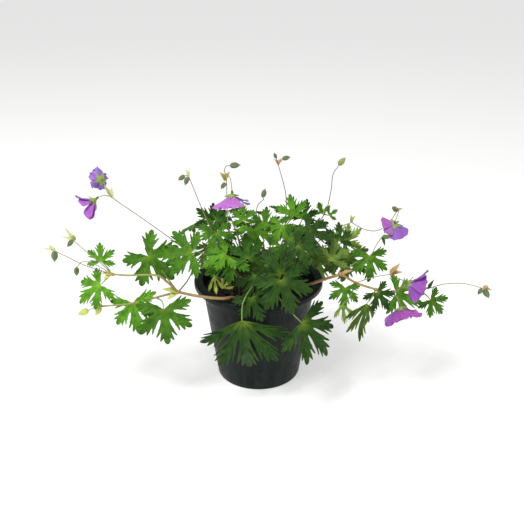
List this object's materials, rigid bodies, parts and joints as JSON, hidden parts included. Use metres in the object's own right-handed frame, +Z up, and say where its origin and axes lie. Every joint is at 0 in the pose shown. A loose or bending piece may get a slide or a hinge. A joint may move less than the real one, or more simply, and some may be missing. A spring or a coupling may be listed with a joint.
{
  "type": "hardy geranium",
  "caption": "Hardy geranium in its plain round nursery pot, with lobed leaves in a mound, trailing shoots over the lip and purple five-petalled flowers on thin stems.",
  "frame": {"origin": "middle of the pot's flat underside, at the level of the surface it stands on", "axes": "+Z up along the pot, -Y towards the two big leaves that hang over the lip, +X along the longer trailing shoot"},
  "size_m": [0.4262, 0.1778, 0.2344],
  "materials": {
    "pot": "semi-matte charcoal plastic with a green cast",
    "potting_mix": "dark crumbly bark and peat mix",
    "leaves": "soft mid green, slightly hairy, veined",
    "trailing_shoots": "green leaves and buds on tan-red hairy stems",
    "flower_stems": "thin grey-green to tan hairy stems with green buds and sepals",
    "petals": "thin translucent magenta-purple petals with darker veins"
  },
  "bodies": {
    "root": {"pot": "pot", "soil": "potting_mix", "bud_stem_left": "flower_stems", "bud_stem_middle": "flower_stems", "bud_stem_right": "flower_stems", "bud_stem_tall": "flower_stems", "flower_stem_centre": "flower_stems", "flower_stem_left": "flower_stems", "flower_stem_right": "flower_stems", "petals_centre": "petals", "petals_left_lower": "petals", "petals_left_upper": "petals", "petals_right_lower": "petals", "petals_right_outer": "petals", "petals_right_upper": "petals", "shoot_left": "trailing_shoots", "shoot_right": "trailing_shoots", "tuft_back": "leaves", "tuft_back_left": "leaves", "tuft_back_right": "leaves", "tuft_front": "leaves", "tuft_front_left": "leaves", "tuft_front_right": "leaves", "tuft_left": "leaves", "tuft_right": "leaves", "tuft_top": "leaves", "tuft_young": "leaves"}
  },
  "joints": []
}
